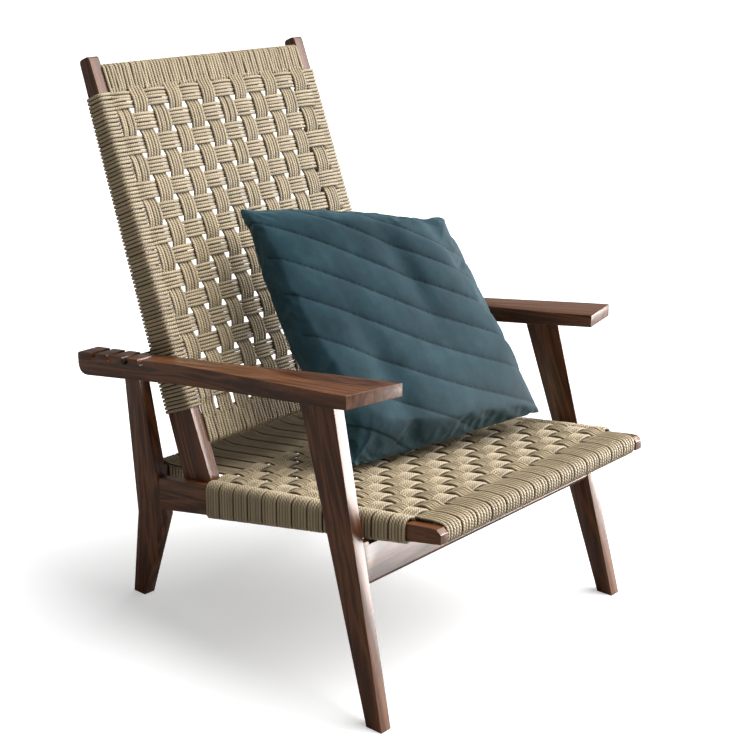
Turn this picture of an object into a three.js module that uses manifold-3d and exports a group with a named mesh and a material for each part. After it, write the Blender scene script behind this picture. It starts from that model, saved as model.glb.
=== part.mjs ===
// Adjustable lounge armchair: a dark wooden frame with a corded seat, a corded back that leans
// on a loose steel rod lying in one of four notches in the arms, and a loose square cushion.
// Millimetres, +Z up, facing -Y. "left" is the sitter's left, on the +X side.
import * as THREE from 'three';
import { mergeVertices } from 'three/addons/utils/BufferGeometryUtils.js';
import Module from 'manifold-3d';

const wasm = await Module();
wasm.setup();

// Overall sizes
const SEAT_WIDTH = 568; // over the outer faces of the side rails
const BACK_LENGTH = 786; // from the back's pivot to the top of its stiles
const SEAT_HEIGHT = 350; // top of the side rails near their front ends
const ARM_HEIGHT = 557; // top of the arms at the front end of their inner edge

// Board sizes
const LEG_THICK = 23;
const RAIL_THICK = 18;
const STILE_THICK = 22;
const STRETCHER_THICK = 22;
const STRETCHER_HEIGHT = 66;
const CROSS_RAIL_THICK = 22; // rails across the seat and the back
const BACK_RAIL_HEIGHT = 44;

// Fits
const GAP = 0.3; // between faces that touch
const PIVOT_GAP = 1; // between a stile and its side rail
const CORD = 6; // a layer of cord around the frame

// Slopes, as rise over run
const FRONT_LEG_FRONT = 0.246; // front edge of a front leg, leaning to the rear
const FRONT_LEG_REAR = 0.326;
const FRONT_LEG_LEAN = -0.056; // sideways, inward going up
const REAR_LEG_LEAN = 0.092; // sideways, outward going up
const RAIL_TOP_SLOPE = -0.13;
const RAIL_BOTTOM_SLOPE = -0.185;
const ARM_TOP_SLOPE = -0.109;
const ARM_BOTTOM_SLOPE = -0.139;
const STILE_TAPER = 0.055; // a stile gets shallower towards its top
const BACK_LEAN = THREE.MathUtils.degToRad(21.2);

// Legs
const FRONT_FOOT_DEPTH = 33;
const FRONT_LEG_OUTSET = 36; // inner face of a front foot beyond the side rail
const REAR_FOOT_Y = 667;
const REAR_FOOT_DEPTH = 31;
const REAR_FOOT_INSET = 22; // outer face of a rear foot inside the rail's outer face
const KNEE_DROP = 15; // knee's front corner below the lower edge of the side rail
const KNEE_REAR_DROP = 10; // knee's rear corner below its front corner
const KNEE_FRONT_Y = 582;
const KNEE_DEPTH = 72;
const REAR_LEG_TOP_Y = 604;
const REAR_LEG_TOP_DEPTH = 39;

// Seat
const RAIL_FRONT_Y = -67;
const RAIL_TIP_RISE = 25; // height of a side rail's front end
const RAIL_TIP_ROUND = 9;
const FRONT_RAIL_Y = -60;
const FRONT_RAIL_HEIGHT = 24;
const REAR_RAIL_Y = 627;
const REAR_RAIL_LIFT = 8; // above the line of the side rails' top
const REAR_RAIL_HEIGHT = 36;
const SEAT_CORD_START_Y = 0; // first and last turn of cord around the side rails
const SEAT_CORD_END_Y = 457;
const STRETCHER_DROP = 97; // lower edge below the front ends of the side rails

// Arms
const ARM_FRONT_THICK = 22;
const ARM_FRONT_Y = 33; // front end of the inner edge
const ARM_END_SKEW = 27; // the outer corner is this much further back
const ARM_FRONT_INSET = 26; // inner edge inside the rail's outer face, at the front
const ARM_FRONT_WIDTH = 99;
const ARM_REAR_WIDTH = 44;
const ARM_STILE_CLEARANCE = 6; // between the arm and the cord around a stile
const ARM_NARROW_Y = 470; // where the arm has become narrow
const ARM_REAR_OVERHANG = 46; // behind the last notch
const ARM_REAR_ROUND = 26;

// Back
const PIVOT_Y = 494;
const PIVOT_RISE = 5.86; // above the middle of the side rail's height
const STILE_HALF_DEPTH = 36; // at the pivot
const STILE_END_ROUND = 8;
const BACK_CORD_START = 150; // first turn of cord around the stiles, from the pivot
const BACK_CORD_DROP = 67; // last turn below the top of the stiles
const BOTTOM_RAIL_START = 86;
const TOP_RAIL_DROP = 21; // below the top of the stiles
const BACK_RAIL_SETBACK = 2; // behind the stiles' front face

// Rod and notches
const ROD_RADIUS = 5.5;
const ROD_OVERHANG = 4; // beyond the arm's outer face
const ROD_GAP = 0.4; // between the rod and the cord around a stile
const ROD_DEPTH = 6.5; // from the top of the arm down to the rod's axis
const NOTCH_PITCH = 43;
const NOTCH_STEPS = [-1, 0, 1, 2]; // counted from the notch that holds the rod
const NOTCH_CLEARANCE = 0.4;

// Fasteners
const DOWEL_RADIUS = 4;
const DOWEL_REACH = 22; // into the end or the edge of a board
const DOWEL_SHARE = 0.6; // of a board's thickness, where a dowel goes into its face
const PIN_RADIUS = 5;
const PIN_REACH = 11; // into the rail, and into the stile

// Cushion
// Each corner: inside the left side rail, in front of the back's cord, above SEAT_HEIGHT
const CUSHION_CORNERS = [
  [337, 47, 371],
  [49, 302, 364],
  [31, 362, 7],
  [408, 236, -19],
];
const CUSHION_HALF_THICK = 52;
const CUSHION_EDGE = 5;
const CUSHION_STEPS = 10;

// Worked out from the values above
const railOut = SEAT_WIDTH / 2;
const railIn = railOut - RAIL_THICK;
const stileOut = railIn - PIVOT_GAP;
const stileIn = stileOut - STILE_THICK;
const armRearIn = stileOut + CORD + ARM_STILE_CLEARANCE;
const armRearOut = armRearIn + ARM_REAR_WIDTH;
const armFrontIn = railOut - ARM_FRONT_INSET;
const armFrontOut = armFrontIn + ARM_FRONT_WIDTH;
const railBottomFront = SEAT_HEIGHT - RAIL_TIP_RISE;

const stretcherBottom = railBottomFront - STRETCHER_DROP;
const backCordEnd = BACK_LENGTH - BACK_CORD_DROP;
const topRailEnd = BACK_LENGTH - TOP_RAIL_DROP;

const railTop = (y) => SEAT_HEIGHT + RAIL_TOP_SLOPE * (y - RAIL_FRONT_Y);
const railBottom = (y) => railBottomFront + RAIL_BOTTOM_SLOPE * (y - RAIL_FRONT_Y);
const kneeHeight = railBottom(KNEE_FRONT_Y) - KNEE_DROP;
const pivotZ = (railTop(PIVOT_Y) + railBottom(PIVOT_Y)) / 2 + PIVOT_RISE;
const armTop = (y) => ARM_HEIGHT + ARM_TOP_SLOPE * (y - ARM_FRONT_Y);
const armBottom = (y) => ARM_HEIGHT - ARM_FRONT_THICK + ARM_BOTTOM_SLOPE * (y - ARM_FRONT_Y);
const frontLegIn = (z) => railOut + FRONT_LEG_OUTSET + FRONT_LEG_LEAN * z;
const rearLegIn = (z) => railOut - REAR_FOOT_INSET - LEG_THICK + REAR_LEG_LEAN * z;
const stileRear = (along) => STILE_HALF_DEPTH - STILE_TAPER * along;
const rearLegFront = (z) => {
  const rise = armBottom(REAR_LEG_TOP_Y) - kneeHeight;
  return KNEE_FRONT_Y + ((REAR_LEG_TOP_Y - KNEE_FRONT_Y) * (z - kneeHeight)) / rise;
};

// The rod touches the cord behind the stiles and lies at its depth below the arms' top.
const leanCos = Math.cos(BACK_LEAN);
const leanSin = Math.sin(BACK_LEAN);
const rodStandoff = STILE_HALF_DEPTH + CORD + ROD_GAP + ROD_RADIUS;
const rodAlong =
  (armTop(PIVOT_Y + rodStandoff * leanCos) - ROD_DEPTH - pivotZ + rodStandoff * leanSin) /
  (leanCos + STILE_TAPER * leanSin - ARM_TOP_SLOPE * (leanSin - STILE_TAPER * leanCos));
const rodBack = rodStandoff - STILE_TAPER * rodAlong;
const ROD_Y = PIVOT_Y + rodBack * leanCos + rodAlong * leanSin;
const ROD_Z = pivotZ - rodBack * leanSin + rodAlong * leanCos;
const slotAngle = BACK_LEAN - Math.atan(STILE_TAPER); // the rod leaves along the stiles' rear face
const armRearY = ROD_Y + NOTCH_STEPS.at(-1) * NOTCH_PITCH + ARM_REAR_OVERHANG;

// Solids
function solid(geometry) {
  const plain = geometry.index ? geometry.toNonIndexed() : geometry.clone();
  plain.deleteAttribute('normal');
  plain.deleteAttribute('uv');
  const merged = mergeVertices(plain, 1e-4);
  return new wasm.Manifold(
    new wasm.Mesh({
      numProp: 3,
      vertProperties: new Float32Array(merged.attributes.position.array),
      triVerts: new Uint32Array(merged.index.array),
    }),
  );
}

function geometryOf(manifold) {
  const mesh = manifold.getMesh();
  const geometry = new THREE.BufferGeometry();
  geometry.setAttribute('position', new THREE.BufferAttribute(mesh.vertProperties, 3));
  geometry.setIndex(new THREE.BufferAttribute(mesh.triVerts, 1));
  const flat = geometry.toNonIndexed();
  flat.computeVertexNormals();
  return flat;
}

function outline(points) {
  return new THREE.Shape(points.map(([a, b]) => new THREE.Vector2(a, b)));
}

// A board whose side view is a (y, z) outline, between two x values.
function sideBoard(shape, xFrom, xTo) {
  const settings = { depth: xTo - xFrom, bevelEnabled: false, curveSegments: 8 };
  const geometry = new THREE.ExtrudeGeometry(shape, settings);
  const axes = [new THREE.Vector3(0, 1, 0), new THREE.Vector3(0, 0, 1), new THREE.Vector3(1, 0, 0)];
  geometry.applyMatrix4(new THREE.Matrix4().makeBasis(...axes));
  return solid(geometry.translate(xFrom, 0, 0));
}

// A board whose front view is an (x, z) outline, between two y values.
function frontBoard(shape, yFrom, yTo) {
  const geometry = new THREE.ExtrudeGeometry(shape, { depth: yTo - yFrom, bevelEnabled: false });
  const axes = [new THREE.Vector3(1, 0, 0), new THREE.Vector3(0, 0, 1), new THREE.Vector3(0, -1, 0)];
  geometry.applyMatrix4(new THREE.Matrix4().makeBasis(...axes));
  return solid(geometry.translate(0, yTo, 0));
}

// A board whose plan is an (x, y) outline, between two heights.
function planBoard(shape, zFrom, zTo) {
  const settings = { depth: zTo - zFrom, bevelEnabled: false, curveSegments: 8 };
  return solid(new THREE.ExtrudeGeometry(shape, settings).translate(0, 0, zFrom));
}

function box(xFrom, xTo, yFrom, yTo, zFrom, zTo) {
  const geometry = new THREE.BoxGeometry(xTo - xFrom, yTo - yFrom, zTo - zFrom);
  return solid(geometry.translate((xFrom + xTo) / 2, (yFrom + yTo) / 2, (zFrom + zTo) / 2));
}

function rodSolid(from, to, radius, sides = 12) {
  const length = from.distanceTo(to);
  const turn = new THREE.Quaternion().setFromUnitVectors(
    new THREE.Vector3(0, 1, 0),
    to.clone().sub(from).normalize(),
  );
  const geometry = new THREE.CylinderGeometry(radius, radius, length, sides);
  geometry.applyQuaternion(turn);
  const middle = from.clone().add(to).multiplyScalar(0.5);
  return solid(geometry.translate(middle.x, middle.y, middle.z));
}

// Leans a leg sideways: x changes with height.
function leaned(board, slope) {
  return board.transform([1, 0, 0, 0, 0, 1, 0, 0, slope, 0, 1, 0, 0, 0, 0, 1]);
}

function mirrored(manifold) {
  return manifold.mirror([1, 0, 0]);
}

// Dowels and pins, all on the left side of the chair; each board is drilled for the ones it meets.
const at = (x, y, z) => new THREE.Vector3(x, y, z);
const frontTopY = (FRONT_FOOT_DEPTH + (FRONT_LEG_FRONT + FRONT_LEG_REAR) * ARM_HEIGHT) / 2 - 8;
const frontTopX = frontLegIn(ARM_HEIGHT) + LEG_THICK / 2;
const rearTopY = REAR_LEG_TOP_Y + REAR_LEG_TOP_DEPTH / 2;
const rearTopX = rearLegIn(armBottom(rearTopY)) + LEG_THICK / 2;
const stretcherMid = stretcherBottom + STRETCHER_HEIGHT / 2;
const stretcherY = FRONT_LEG_FRONT * stretcherMid + STRETCHER_THICK / 2;
const railEndY = rearLegFront(railTop(KNEE_FRONT_Y) - 30);
const railEndZ = (railTop(railEndY) + railBottom(railEndY)) / 2;
const frontRailY = FRONT_RAIL_Y + CROSS_RAIL_THICK / 2;
const frontRailZ = railTop(frontRailY) - FRONT_RAIL_HEIGHT / 2;
const rearRailY = REAR_RAIL_Y + CROSS_RAIL_THICK / 2;
const rearRailTop = railTop(REAR_RAIL_Y + CROSS_RAIL_THICK) + REAR_RAIL_LIFT;
const rearRailZ = rearRailTop - REAR_RAIL_HEIGHT / 2;
const backRailY = -STILE_HALF_DEPTH + BACK_RAIL_SETBACK + CROSS_RAIL_THICK / 2;

const legDepth = LEG_THICK * DOWEL_SHARE;
const frameDowels = {
  arm_dowel_front: [
    at(frontTopX, frontTopY, armBottom(frontTopY) - DOWEL_REACH),
    at(frontTopX, frontTopY, armBottom(frontTopY) + ARM_FRONT_THICK * DOWEL_SHARE),
  ],
  arm_dowel_rear: [
    at(rearTopX, rearTopY, armBottom(rearTopY) - DOWEL_REACH),
    at(rearTopX, rearTopY, armBottom(rearTopY) + DOWEL_REACH),
  ],
  stretcher_dowel: [
    at(frontLegIn(stretcherMid) - DOWEL_REACH, stretcherY, stretcherMid),
    at(frontLegIn(stretcherMid) + legDepth, stretcherY, stretcherMid),
  ],
  side_rail_dowel: [
    at(railOut - RAIL_THICK / 2, railEndY - DOWEL_REACH, railEndZ),
    at(railOut - RAIL_THICK / 2, railEndY + DOWEL_REACH, railEndZ),
  ],
  front_rail_dowel: [
    at(railIn - DOWEL_REACH, frontRailY, frontRailZ),
    at(railIn + RAIL_THICK * DOWEL_SHARE, frontRailY, frontRailZ),
  ],
  rear_rail_dowel: [
    at(rearLegIn(rearRailZ) - DOWEL_REACH, rearRailY, rearRailZ),
    at(rearLegIn(rearRailZ) + legDepth, rearRailY, rearRailZ),
  ],
};

const bottomRailMid = BOTTOM_RAIL_START + BACK_RAIL_HEIGHT / 2;
const topRailMid = topRailEnd - BACK_RAIL_HEIGHT / 2;
const stileDepth = STILE_THICK * DOWEL_SHARE;
const backDowels = {
  bottom_rail_dowel: [
    at(stileIn - DOWEL_REACH, backRailY, bottomRailMid),
    at(stileIn + stileDepth, backRailY, bottomRailMid),
  ],
  top_rail_dowel: [
    at(stileIn - DOWEL_REACH, backRailY, topRailMid),
    at(stileIn + stileDepth, backRailY, topRailMid),
  ],
};
const pivotPin = [
  at(stileOut - PIN_REACH, PIVOT_Y, pivotZ),
  at(railIn + PIN_REACH, PIVOT_Y, pivotZ),
];

function drilled(board, dowels, radius = DOWEL_RADIUS) {
  let result = board;
  for (const [from, to] of Object.values(dowels)) {
    const end = to.clone().sub(from).setLength(GAP);
    const hole = rodSolid(from.clone().sub(end), to.clone().add(end), radius + GAP);
    result = result.subtract(hole).subtract(mirrored(hole));
  }
  return result;
}

// Frame boards, left side
function frontLeg() {
  const height = ARM_HEIGHT;
  const side = outline([
    [0, 0],
    [FRONT_FOOT_DEPTH, 0],
    [FRONT_FOOT_DEPTH + FRONT_LEG_REAR * height, height],
    [FRONT_LEG_FRONT * height, height],
  ]);
  const board = leaned(sideBoard(side, frontLegIn(0), frontLegIn(0) + LEG_THICK), FRONT_LEG_LEAN);
  return board.subtract(aboveArmBottom());
}

function aboveArmBottom() {
  const side = outline([
    [-200, armBottom(-200) - GAP],
    [1000, armBottom(1000) - GAP],
    [1000, ARM_HEIGHT + 200],
    [-200, ARM_HEIGHT + 200],
  ]);
  return sideBoard(side, 0, SEAT_WIDTH);
}

function rearLeg() {
  const topY = REAR_LEG_TOP_Y + REAR_LEG_TOP_DEPTH;
  const side = outline([
    [REAR_FOOT_Y, 0],
    [REAR_FOOT_Y + REAR_FOOT_DEPTH, 0],
    [KNEE_FRONT_Y + KNEE_DEPTH, kneeHeight - KNEE_REAR_DROP],
    [topY, armBottom(topY) - GAP],
    [REAR_LEG_TOP_Y, armBottom(REAR_LEG_TOP_Y) - GAP],
    [KNEE_FRONT_Y, kneeHeight],
  ]);
  return leaned(sideBoard(side, rearLegIn(0), rearLegIn(0) + LEG_THICK), REAR_LEG_LEAN);
}

function sideRail() {
  const bottomEnd = rearLegFront(railBottom(KNEE_FRONT_Y)) - GAP;
  const topEnd = rearLegFront(railTop(KNEE_FRONT_Y)) - GAP;
  const side = outline([
    [RAIL_FRONT_Y, railBottom(RAIL_FRONT_Y)],
    [bottomEnd, railBottom(bottomEnd)],
    [topEnd, railTop(topEnd)],
    [RAIL_FRONT_Y + 2.5 * RAIL_TIP_ROUND, railTop(RAIL_FRONT_Y + 2.5 * RAIL_TIP_ROUND)],
    [RAIL_FRONT_Y + RAIL_TIP_ROUND, railTop(RAIL_FRONT_Y) - RAIL_TIP_ROUND / 4],
    [RAIL_FRONT_Y, railTop(RAIL_FRONT_Y) - RAIL_TIP_ROUND],
  ]);
  const board = sideBoard(side, railIn, railOut);
  return drilled(board, { pivotPin }, PIN_RADIUS);
}

function arm() {
  const plan = new THREE.Shape();
  plan.moveTo(armFrontIn, ARM_FRONT_Y);
  plan.lineTo(armFrontOut, ARM_FRONT_Y + ARM_END_SKEW);
  const bend = ARM_NARROW_Y * 0.6;
  plan.bezierCurveTo(armFrontOut - 4, bend * 0.6, armFrontOut - 26, bend, armRearOut, ARM_NARROW_Y);
  plan.lineTo(armRearOut, armRearY);
  plan.lineTo(armRearIn, armRearY);
  plan.lineTo(armRearIn, ARM_NARROW_Y);
  plan.bezierCurveTo(armRearIn, bend * 1.15, armFrontIn - 2, bend, armFrontIn, ARM_FRONT_Y);

  const side = new THREE.Shape();
  const round = ARM_REAR_ROUND;
  side.moveTo(ARM_FRONT_Y - 20, armBottom(ARM_FRONT_Y - 20));
  side.lineTo(armRearY - round, armBottom(armRearY - round));
  side.quadraticCurveTo(armRearY, armBottom(armRearY), armRearY, armBottom(armRearY) + round);
  side.lineTo(armRearY, armTop(armRearY) - 6);
  side.quadraticCurveTo(armRearY, armTop(armRearY), armRearY - 6, armTop(armRearY - 6));
  side.lineTo(ARM_FRONT_Y - 20, armTop(ARM_FRONT_Y - 20));

  let board = sideBoard(side, armFrontIn - 40, armFrontOut + 10);
  board = board.intersect(planBoard(plan, 0, ARM_HEIGHT + 100));
  for (const step of NOTCH_STEPS) board = board.subtract(notch(step));
  return board;
}

// A slot with a round bottom, open upward along the rod's way out.
function notch(step) {
  const y = ROD_Y + step * NOTCH_PITCH;
  const z = ROD_Z + step * NOTCH_PITCH * ARM_TOP_SLOPE;
  const radius = ROD_RADIUS + NOTCH_CLEARANCE;
  const shape = new THREE.Shape();
  shape.moveTo(radius, 0);
  shape.lineTo(radius, 40);
  shape.lineTo(-radius, 40);
  shape.lineTo(-radius, 0);
  shape.absarc(0, 0, radius, Math.PI, 2 * Math.PI, false);
  const slot = sideBoard(shape, armRearIn - 20, armRearOut + 20);
  return slot.rotate([-THREE.MathUtils.radToDeg(slotAngle), 0, 0]).translate([0, y, z]);
}

// Boards across the chair
function frontStretcher() {
  const top = stretcherBottom + STRETCHER_HEIGHT;
  const faceY = (z) => FRONT_LEG_FRONT * z + 1;
  const side = outline([
    [faceY(stretcherBottom) + 3, stretcherBottom],
    [faceY(stretcherBottom) + STRETCHER_THICK - 3, stretcherBottom],
    [faceY(stretcherBottom + 5) + STRETCHER_THICK, stretcherBottom + 5],
    [faceY(top) + STRETCHER_THICK, top],
    [faceY(top), top],
    [faceY(stretcherBottom + 5), stretcherBottom + 5],
  ]);
  const below = frontLegIn(stretcherBottom) - GAP;
  const above = frontLegIn(top) - GAP;
  const front = outline([
    [-below, stretcherBottom],
    [below, stretcherBottom],
    [above, top],
    [-above, top],
  ]);
  let board = sideBoard(side, -SEAT_WIDTH, SEAT_WIDTH).intersect(frontBoard(front, -10, 300));
  // The corded side rails lie in two shallow recesses in the top edge.
  const recessBottom = railBottom(faceY(top) + STRETCHER_THICK) - CORD - 2 * GAP;
  const recess = box(railIn - CORD - 1, railOut + CORD + 1, 0, 300, recessBottom, top + 50);
  board = board.subtract(recess).subtract(mirrored(recess));
  return drilled(board, frameDowels);
}

function seatFrontRail() {
  const yTo = FRONT_RAIL_Y + CROSS_RAIL_THICK;
  const top = railTop(yTo);
  const board = box(-railIn + GAP, railIn - GAP, FRONT_RAIL_Y, yTo, top - FRONT_RAIL_HEIGHT, top);
  return drilled(board, frameDowels);
}

function seatRearRail() {
  const top = rearRailTop;
  const bottom = top - REAR_RAIL_HEIGHT;
  const front = outline([
    [-rearLegIn(bottom) + GAP, bottom],
    [rearLegIn(bottom) - GAP, bottom],
    [rearLegIn(top) - GAP, top],
    [-rearLegIn(top) + GAP, top],
  ]);
  return drilled(frontBoard(front, REAR_RAIL_Y, REAR_RAIL_Y + CROSS_RAIL_THICK), frameDowels);
}

// Cord of the seat: a field on top of the rails, and channels around them.
function seatField() {
  const from = FRONT_RAIL_Y - CORD;
  const middle = SEAT_CORD_END_Y;
  const rear = REAR_RAIL_Y + CROSS_RAIL_THICK + CORD;
  const under = (y, lift) => railTop(y) + 2 * GAP + lift;
  const slab = (yFrom, yTo, half, lift) => {
    const side = outline([
      [yFrom, under(yFrom, 0)],
      [yTo, under(yTo, lift)],
      [yTo, under(yTo, lift) + CORD],
      [yFrom, under(yFrom, 0) + CORD],
    ]);
    return sideBoard(side, -half, half);
  };
  const wide = slab(from, middle, railOut + CORD, 0);
  return wide.add(slab(middle - 1, rear, stileIn - CORD - 2, REAR_RAIL_LIFT + 1));
}

function seatSideChannel() {
  const from = SEAT_CORD_START_Y;
  const to = SEAT_CORD_END_Y;
  const band = (grow, topShift) => outline([
    [from, railBottom(from) - grow],
    [to, railBottom(to) - grow],
    [to, railTop(to) + topShift],
    [from, railTop(from) + topShift],
  ]);
  const outer = sideBoard(band(CORD, 0), railIn - CORD, railOut + CORD);
  return outer.subtract(sideBoard(band(GAP, 20), railIn - GAP, railOut + GAP));
}

function crossChannel(yFrom, yTo, zBottom, zTop, half) {
  const outer = box(-half, half, yFrom - CORD, yTo + CORD, zBottom - CORD, zTop);
  return outer.subtract(box(-half - 1, half + 1, yFrom - GAP, yTo + GAP, zBottom - GAP, zTop + 20));
}

function seatFrontChannel() {
  const yTo = FRONT_RAIL_Y + CROSS_RAIL_THICK;
  const top = railTop(yTo + CORD);
  return crossChannel(FRONT_RAIL_Y, yTo, railTop(yTo) - FRONT_RAIL_HEIGHT, top, railIn - GAP);
}

function seatRearChannel() {
  const yTo = REAR_RAIL_Y + CROSS_RAIL_THICK;
  const top = rearRailTop - GAP;
  return crossChannel(REAR_RAIL_Y, yTo, rearRailTop - REAR_RAIL_HEIGHT, top, stileIn - CORD - 2);
}

// The back, in its own frame: the pivot is the origin and z runs up along the stiles' front face.
function backStile() {
  const half = STILE_HALF_DEPTH;
  const top = BACK_LENGTH;
  const side = new THREE.Shape();
  side.moveTo(-half, 0);
  side.absarc(0, 0, half, Math.PI, 2 * Math.PI, false);
  side.lineTo(stileRear(top - STILE_END_ROUND), top - STILE_END_ROUND);
  side.quadraticCurveTo(stileRear(top), top, stileRear(top) - STILE_END_ROUND, top);
  side.lineTo(-half + STILE_END_ROUND, top);
  side.quadraticCurveTo(-half, top, -half, top - STILE_END_ROUND);
  const board = drilled(sideBoard(side, stileIn, stileOut), backDowels);
  const bore = [at(stileOut - PIN_REACH, 0, 0), at(stileOut + PIN_REACH, 0, 0)];
  return drilled(board, { bore }, PIN_RADIUS);
}

function backRail(start) {
  const front = -STILE_HALF_DEPTH + BACK_RAIL_SETBACK;
  const rear = front + CROSS_RAIL_THICK;
  const half = stileIn - GAP;
  return drilled(box(-half, half, front, rear, start, start + BACK_RAIL_HEIGHT), backDowels);
}

function backField() {
  const front = -STILE_HALF_DEPTH - GAP;
  const zFrom = BACK_CORD_START;
  const field = box(-stileOut, stileOut, front - CORD, front, zFrom, backCordEnd);
  const strip = (from, to) => box(-stileIn + 1, stileIn - 1, front - CORD, front, from, to);
  return field.add(strip(BOTTOM_RAIL_START, zFrom + 1)).add(strip(backCordEnd - 1, topRailEnd));
}

function stileChannel() {
  const from = BACK_CORD_START;
  const to = backCordEnd;
  const band = (grow, front, extra) => outline([
    [front, from - extra],
    [stileRear(from - extra) + grow, from - extra],
    [stileRear(to + extra) + grow, to + extra],
    [front, to + extra],
  ]);
  const outer = sideBoard(band(CORD, -STILE_HALF_DEPTH, 0), stileIn - CORD, stileOut + CORD);
  return outer.subtract(sideBoard(band(GAP, -STILE_HALF_DEPTH - 20, 5), stileIn - GAP, stileOut + GAP));
}

function backRailChannel(start, openBelow) {
  const front = -STILE_HALF_DEPTH;
  const rear = front + BACK_RAIL_SETBACK + CROSS_RAIL_THICK;
  const half = stileIn - CORD - 1;
  const end = start + BACK_RAIL_HEIGHT;
  const wall = (grow, past) => {
    const below = openBelow ? start - past : start - grow;
    const above = openBelow ? end + grow : end + past;
    return box(-half - past, half + past, front - past, rear + grow, below, above);
  };
  return wall(CORD, 0).subtract(wall(GAP, 1));
}

function cushionCorner([inset, standoff, rise]) {
  const z = SEAT_HEIGHT + rise;
  const front = STILE_HALF_DEPTH + GAP + CORD;
  const along = (z - pivotZ - front * leanSin) / leanCos;
  return at(railIn - inset, PIVOT_Y - front * leanCos + along * leanSin - standoff, z);
}

// Cushion: two crowned faces over its four corners, closed along a thin edge.
function cushionGeometry() {
  const [topLeft, topRight, bottomRight, bottomLeft] = CUSHION_CORNERS.map(cushionCorner);
  const across = topRight.clone().add(bottomRight).sub(topLeft).sub(bottomLeft);
  const down = bottomLeft.clone().add(bottomRight).sub(topLeft).sub(topRight);
  const normal = across.cross(down).normalize();
  const steps = CUSHION_STEPS;
  const positions = [];
  for (const face of [1, -1]) {
    for (let row = 0; row <= steps; row += 1) {
      for (let column = 0; column <= steps; column += 1) {
        const u = column / steps;
        const v = row / steps;
        const left = topLeft.clone().lerp(bottomLeft, v);
        const right = topRight.clone().lerp(bottomRight, v);
        const crown = Math.sqrt(Math.max(0, Math.sin(Math.PI * u) * Math.sin(Math.PI * v)));
        const height = CUSHION_EDGE + (CUSHION_HALF_THICK - CUSHION_EDGE) * crown;
        positions.push(...left.lerp(right, u).addScaledVector(normal, face * height).toArray());
      }
    }
  }
  const side = steps + 1;
  const index = [];
  const quad = (a, b, c, d) => index.push(a, c, b, a, d, c);
  const back = side * side;
  for (let row = 0; row < steps; row += 1) {
    for (let column = 0; column < steps; column += 1) {
      const a = row * side + column;
      quad(a, a + side, a + side + 1, a + 1);
      quad(back + a, back + a + 1, back + a + side + 1, back + a + side);
    }
    const left = row * side;
    const right = left + steps;
    quad(left, back + left, back + left + side, left + side);
    quad(right, right + side, back + right + side, back + right);
    const top = row;
    const bottom = steps * side + row;
    quad(top, top + 1, back + top + 1, back + top);
    quad(bottom, back + bottom, back + bottom + 1, bottom + 1);
  }
  const geometry = new THREE.BufferGeometry();
  geometry.setAttribute('position', new THREE.Float32BufferAttribute(positions, 3));
  geometry.setIndex(index);
  const flat = geometry.toNonIndexed();
  flat.computeVertexNormals();
  return flat;
}

// Materials
function finish(color, roughness, metalness = 0) {
  return () => new THREE.MeshStandardMaterial({ color, roughness, metalness });
}

const wood = finish(0x5a3020, 0.4);
const beech = finish(0xb08a5e, 0.7);
const cordage = finish(0xa8996f, 0.9);
const steel = finish(0x2a2a2c, 0.35, 1);
const velvet = finish(0x2b4a58, 0.85);

// Assembly
const chair = new THREE.Group();
const back = new THREE.Group();
back.position.set(0, PIVOT_Y, pivotZ);
back.rotation.x = -BACK_LEAN;
chair.add(back);

function addMesh(parent, name, geometry, material) {
  const mesh = new THREE.Mesh(geometry, material());
  mesh.name = name;
  parent.add(mesh);
}

function addSolid(parent, name, manifold, material) {
  addMesh(parent, name, geometryOf(manifold), material);
}

function addPair(parent, name, manifold, material) {
  addSolid(parent, `${name}_left`, manifold, material);
  addSolid(parent, `${name}_right`, mirrored(manifold), material);
}

addPair(chair, 'front_leg', drilled(frontLeg(), frameDowels), wood);
addPair(chair, 'rear_leg', drilled(rearLeg(), frameDowels), wood);
addPair(chair, 'side_rail', drilled(sideRail(), frameDowels), wood);
addPair(chair, 'arm', drilled(arm(), frameDowels), wood);
addSolid(chair, 'front_stretcher', frontStretcher(), wood);
addSolid(chair, 'seat_front_rail', seatFrontRail(), wood);
addSolid(chair, 'seat_rear_rail', seatRearRail(), wood);
for (const [name, [from, to]] of Object.entries(frameDowels)) {
  addPair(chair, name, rodSolid(from, to, DOWEL_RADIUS), beech);
}
addPair(chair, 'pivot_pin', rodSolid(...pivotPin, PIN_RADIUS, 16), steel);
addSolid(chair, 'seat_cord_field', seatField(), cordage);
addPair(chair, 'seat_cord_side', seatSideChannel(), cordage);
addSolid(chair, 'seat_cord_front', seatFrontChannel(), cordage);
addSolid(chair, 'seat_cord_rear', seatRearChannel(), cordage);

addPair(back, 'back_stile', backStile(), wood);
addSolid(back, 'back_bottom_rail', backRail(BOTTOM_RAIL_START), wood);
addSolid(back, 'back_top_rail', backRail(topRailEnd - BACK_RAIL_HEIGHT), wood);
for (const [name, [from, to]] of Object.entries(backDowels)) {
  addPair(back, name, rodSolid(from, to, DOWEL_RADIUS), beech);
}
addSolid(back, 'back_cord_field', backField(), cordage);
addPair(back, 'back_cord_stile', stileChannel(), cordage);
addSolid(back, 'back_cord_bottom', backRailChannel(BOTTOM_RAIL_START, false), cordage);
addSolid(back, 'back_cord_top', backRailChannel(topRailEnd - BACK_RAIL_HEIGHT, true), cordage);

const rodHalf = armRearOut + ROD_OVERHANG;
const rod = rodSolid(at(-rodHalf, ROD_Y, ROD_Z), at(rodHalf, ROD_Y, ROD_Z), ROD_RADIUS, 20);
addSolid(chair, 'support_rod', rod, steel);
addMesh(chair, 'throw_cushion', cushionGeometry(), velvet);

// The origin is on the floor, under the middle of the chair's width and depth.
const bounds = new THREE.Box3().setFromObject(chair, true);
chair.position.y = -(bounds.min.y + bounds.max.y) / 2;

export default chair;
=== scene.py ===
import math

import bmesh
import bpy
import numpy as np
from mathutils import Matrix, Vector


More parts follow.
